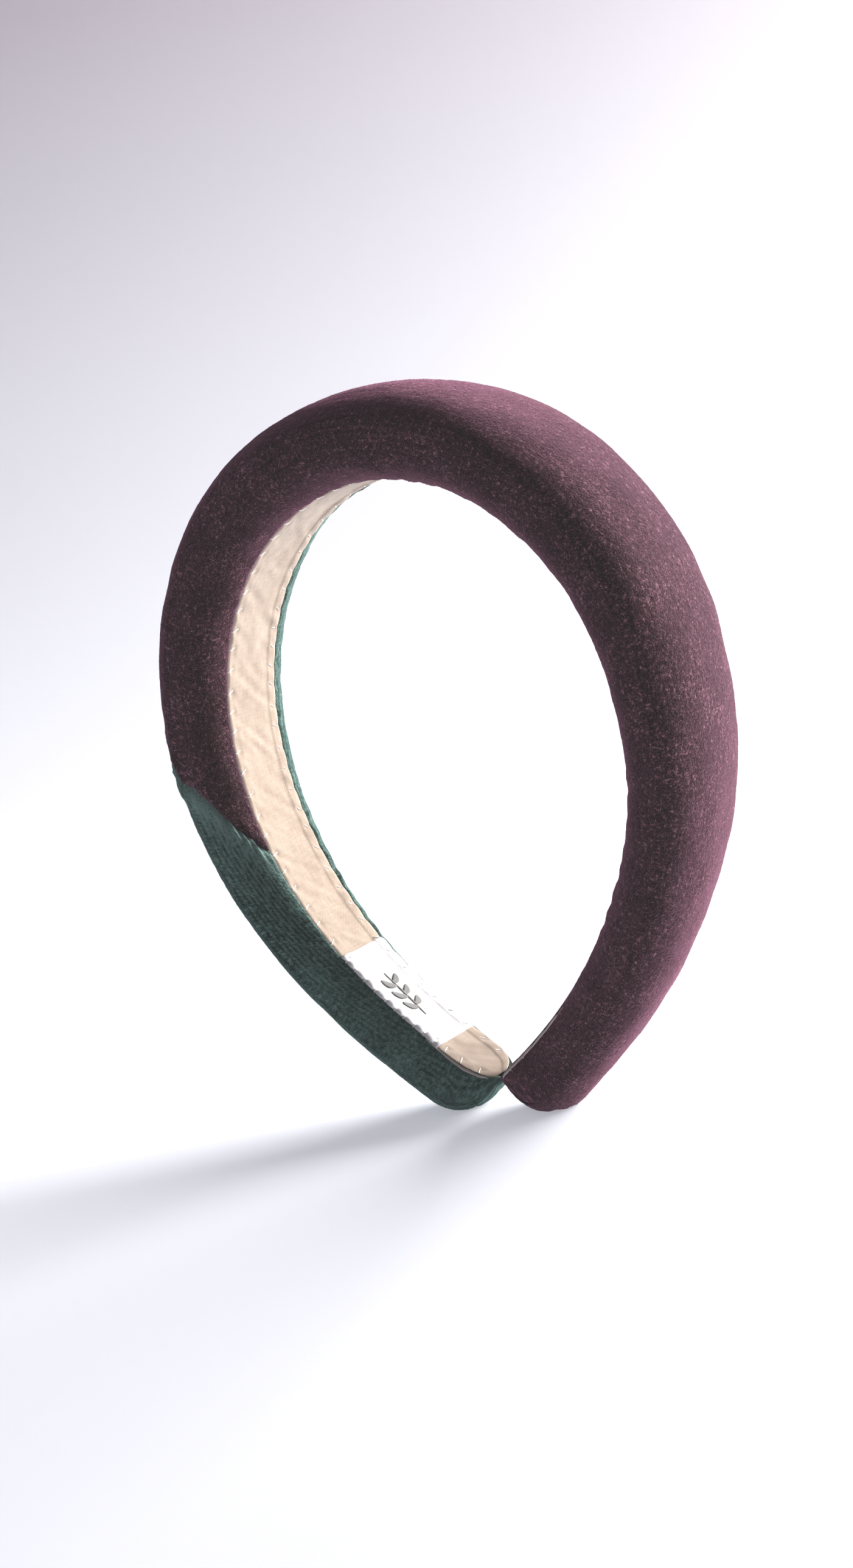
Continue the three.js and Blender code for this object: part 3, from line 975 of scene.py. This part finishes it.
def sprig():
    points, faces, coords = [], [], []
    count = STROKE_STEPS * STROKE_SIDES
    first = 0
    for s, y in sprig_strokes():
        s, y = s.reshape(STROKE_STEPS, STROKE_SIDES), y.reshape(STROKE_STEPS, STROKE_SIDES)
        n = label_surface(s, y / (lining_half(s) + OVERHANG))[1]
        for lift in STROKE_LIFTS:
            points.append(place(s, y, n - lift).reshape(-1, 3))
            coords.append(vectors(s, y, 0.0))
        index = first + np.arange(count).reshape(STROKE_STEPS, STROKE_SIDES)
        faces.append(grid_faces(STROKE_STEPS, STROKE_SIDES, first=first, flip=True))
        faces.append(grid_faces(STROKE_STEPS, STROKE_SIDES, first=first + count))
        faces.append(walls(border_of(index), count))
        first += 2 * count
    return make_mesh("label_leaf_sprig", np.concatenate(points), faces, MOTIF, "sewing_thread",
                     cloth=np.concatenate(coords))


sprig()

# ---- whip stitches ----

PLY_SIDES = 6
PLY_STEPS = 12
PLY_RADIUS = 0.105
PLY_TWIST = 2.2  # turns of the two plies in one stitch
PLY_SPREAD = 0.62  # distance of a ply from the thread's middle, in radii
PLY_TAPER = 0.45  # size of the first and last ring


def rope(path, radius, phase, twist):
    """Points of one ply that winds round a path, as rings, in metres."""
    count = len(path)
    along = np.gradient(path, axis=0)
    along /= np.maximum(np.linalg.norm(along, axis=1, keepdims=True), 1e-12)
    across = np.cross(along, [0.0, 1.0, 0.31])
    across /= np.maximum(np.linalg.norm(across, axis=1, keepdims=True), 1e-12)
    up = np.cross(along, across)
    wind = phase + np.linspace(0, 2 * math.pi * twist, count)[:, None]
    centre = path + (across * np.cos(wind) + up * np.sin(wind)) * radius * PLY_SPREAD * MM
    angle = np.linspace(0, 2 * math.pi, PLY_SIDES, endpoint=False)[None, :, None]
    shrink = np.ones((count, 1, 1))
    shrink[[0, -1]] = PLY_TAPER
    ring = across[:, None] * np.cos(angle) + up[:, None] * np.sin(angle)
    return centre[:, None] + ring * radius * MM * shrink


def ropes(name, paths, radius, twist, material, slot):
    """One piece made of a two-ply thread along each path."""
    points, faces, coords = [], [], []
    first = 0
    for number, path in enumerate(paths):
        for ply in (0, 1):
            rings = rope(path, radius, ply * math.pi, twist)
            count = len(path)
            points.append(rings.reshape(-1, 3))
            faces.append(grid_faces(count, PLY_SIDES, first=first, closed=True))
            faces.append([list(range(first, first + PLY_SIDES))[::-1]])
            end = first + (count - 1) * PLY_SIDES
            faces.append([list(range(end, end + PLY_SIDES))])
            u = np.repeat(np.linspace(0, 3, count), PLY_SIDES)
            v = np.tile(np.arange(PLY_SIDES) * 0.3, count)
            coords.append(vectors(u, v, number * 1.7 + ply))
            first += count * PLY_SIDES
    return make_mesh(name, np.concatenate(points), faces, material, slot,
                     cloth=np.concatenate(coords))


def stitch_paths(side):
    """A short slanted path over the lining's edge at each stitch, its ends sunk in the cloth."""
    random = np.random.RandomState(31 if side < 0 else 32)
    paths = []
    for place_s in STITCHES[side]:
        on_label = LABEL_SPAN[0] - 0.5 < place_s < LABEL_SPAN[1] + 0.5
        inner = random.uniform(2.2, 2.8) if side < 0 else random.uniform(2.5, 2.9)
        outer = -0.1 if side < 0 else 1.3
        slant = random.uniform(0.5, 1.2)
        u = np.linspace(0.0, 1.0, PLY_STEPS)
        half = float(lining_half(place_s))
        inward = mix(outer, inner, u)
        across = side * (1.0 - inward / (half + OVERHANG))
        s = place_s + slant * (u - 0.35)
        surface = label_surface if on_label else lining_surface
        n = surface(s, np.clip(across, -1.0, 1.0))[1]
        y = side * (half + OVERHANG - inward)
        ends = np.clip(np.minimum(u, 1.0 - u) / 0.16, 0.0, 1.0)
        n = n - 0.05 + 0.35 * (1 - smooth(ends))
        paths.append(place(s, y, n))
    return paths


front_thread = ropes("whip_stitch_thread_front", stitch_paths(-1), PLY_RADIUS, PLY_TWIST,
                     COTTON, "sewing_thread")
rear_thread = ropes("whip_stitch_thread_rear", stitch_paths(1), PLY_RADIUS, PLY_TWIST,
                    COTTON, "sewing_thread")
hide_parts("whip_stitches_front")
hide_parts("whip_stitches_rear")

# ---- seam thread: short stitches at the bottom of the seam ----


SEAM_STITCHES = 62
SEAM_STITCH_HALF = 0.0062  # half of a stitch's length, as a share of the girth
SEAM_STITCH_STEPS = 7
SEAM_DEPTH = 1.35  # of the thread below the velvet's surface
SEAM_RADIUS = 0.1
SEAM_TWIST = 1.0


def seam_paths():
    paths = []
    for girth in np.linspace(0.01, 0.99, SEAM_STITCHES):
        local = girth + np.linspace(-SEAM_STITCH_HALF, SEAM_STITCH_HALF, SEAM_STITCH_STEPS)
        s = seam_at(local)
        paths.append(place(s, *velvet_section(s, local, SEAM_DEPTH)))
    return paths


seam_thread = ropes("panel_seam_stitches", seam_paths(), SEAM_RADIUS, SEAM_TWIST, SEAM_COTTON,
                    "seam_thread")
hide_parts("panel_seam_thread")

# ---- carried-over CAD node ----

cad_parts["band_core"].material_slots[0].material = PLASTIC

# ---- stage, light and camera ----

CAMERA_AZIMUTH = 36.0
CAMERA_ELEVATION = 9.5
CAMERA_ROLL = -11.0
CAMERA_DISTANCE = 604.6
CAMERA_LENS = 58.59
TARGET_RIGHT = -5.8
TARGET_HEIGHT = 81.1


def camera():
    """Makes the camera, and returns the directions to its right and back towards it."""
    azimuth, elevation, roll = (math.radians(a) for a in
                                (CAMERA_AZIMUTH, CAMERA_ELEVATION, CAMERA_ROLL))
    back = Vector((math.sin(azimuth) * math.cos(elevation),
                   -math.cos(azimuth) * math.cos(elevation), math.sin(elevation)))
    right = Vector((math.cos(azimuth), math.sin(azimuth), 0.0))
    up = back.cross(right)
    turned_right = math.cos(roll) * right + math.sin(roll) * up
    turned_up = math.cos(roll) * up - math.sin(roll) * right
    target = right * TARGET_RIGHT + Vector((0, 0, TARGET_HEIGHT))
    data = bpy.data.cameras.new("camera")
    data.sensor_fit = "VERTICAL"
    data.sensor_height = 36.0
    data.lens = CAMERA_LENS
    data.clip_start = 0.01
    thing = add_object("camera", data)
    matrix = Matrix((turned_right, turned_up, back)).transposed().to_4x4()
    matrix.translation = (target + back * CAMERA_DISTANCE) * MM
    thing.matrix_world = matrix
    bpy.context.scene.camera = thing
    return right, back


view_right, view_back = camera()

BACKDROP_FLAT = 0.32  # the paper lies flat this far behind the band, in metres
BACKDROP_RADIUS = 0.75
BACKDROP_REACH = 4.0
BACKDROP_STEPS = 24
PAPER_TOP = 0.45  # height of the top of the picture on the paper, in metres
# painted light: the paper is paler and glows most at the floor, lifting the floor and its shadows, and
# is darker towards the top, painted falloff of the light
PAPER_LOW = (0.64, 0.65, 0.69)
PAPER_HIGH = (0.40, 0.375, 0.41)
PAPER_GLOW_LOW = (0.355, 0.36, 0.395)
PAPER_GLOW_HIGH = (0.05, 0.035, 0.05)


def paper():
    """One sheet of pale paper, flat under the band and curving up behind it."""
    forward = Vector((-view_back.x, -view_back.y, 0.0)).normalized()
    profile = [(-BACKDROP_REACH, 0.0), (BACKDROP_FLAT, 0.0)]
    for step in range(1, BACKDROP_STEPS + 1):
        angle = math.pi / 2 * step / BACKDROP_STEPS
        profile.append((BACKDROP_FLAT + BACKDROP_RADIUS * math.sin(angle),
                        BACKDROP_RADIUS * (1.0 - math.cos(angle))))
    profile.append((profile[-1][0], BACKDROP_REACH))
    points = []
    for away, height in profile:
        for side in (-BACKDROP_REACH, BACKDROP_REACH):
            points.append(forward * away + view_right * side + Vector((0.0, 0.0, height)))
    faces = [(2 * k, 2 * k + 1, 2 * k + 3, 2 * k + 2) for k in range(len(profile) - 1)]
    mesh = bpy.data.meshes.new("paper")
    mesh.from_pydata([tuple(p) for p in points], [], faces)
    mesh.polygons.foreach_set("use_smooth", [True] * len(faces))
    m = Nodes("paper")
    split = m.node("ShaderNodeSeparateXYZ")
    m.link(m.node("ShaderNodeTexCoord").outputs["Object"], split.inputs[0])
    rise = m.times(split.outputs[2], 1.0 / PAPER_TOP)
    # painted light: glow and colour fade from the floor towards the top
    glow = m.ramp(rise, (0.0, PAPER_GLOW_LOW), (1.0, PAPER_GLOW_HIGH))
    tone = m.ramp(rise, (0.0, PAPER_LOW), (1.0, PAPER_HIGH))
    m.set(Base_Color=tone, Roughness=0.95, Specular_IOR_Level=0.05,
          Emission_Color=glow, Emission_Strength=1.0)
    mesh.materials.append(m.material)
    thing = add_object("paper", mesh)


paper()


AIM_HEIGHT = 0.09  # of the point that the light shines at, in metres
KEY_POWER = 186.0
KEY_SIZE = 1.4
KEY_DISTANCE = 1.3
KEY_FORWARD = 0.60
KEY_HEIGHT = 0.10
KEY_COLOR = (1.0, 0.985, 0.97)
WORLD_COLOR = (0.93, 0.93, 1.0, 1.0)
WORLD_STRENGTH = 0.22
HAZE = 0.016  # stray light in the lens lifts the blacks


def studio():
    world = bpy.data.worlds.new("studio")
    bpy.context.scene.world = world
    world.use_nodes = True
    background = world.node_tree.nodes["Background"]
    background.inputs["Color"].default_value = WORLD_COLOR
    background.inputs["Strength"].default_value = WORLD_STRENGTH
    data = bpy.data.lights.new("key", "AREA")
    data.shape = "DISK"
    data.size = KEY_SIZE
    data.energy = KEY_POWER
    data.color = KEY_COLOR
    key = add_object("key", data)
    away = (view_right - view_back * KEY_FORWARD + Vector((0, 0, KEY_HEIGHT))).normalized()
    key.location = Vector((0, 0, AIM_HEIGHT)) + away * KEY_DISTANCE
    key.rotation_euler = away.to_track_quat("Z", "Y").to_euler()
    view = bpy.context.scene.view_settings
    view.view_transform = "Standard"
    view.use_curve_mapping = True
    view.curve_mapping.curves[3].points[0].location = (0.0, HAZE)
    view.curve_mapping.update()


studio()
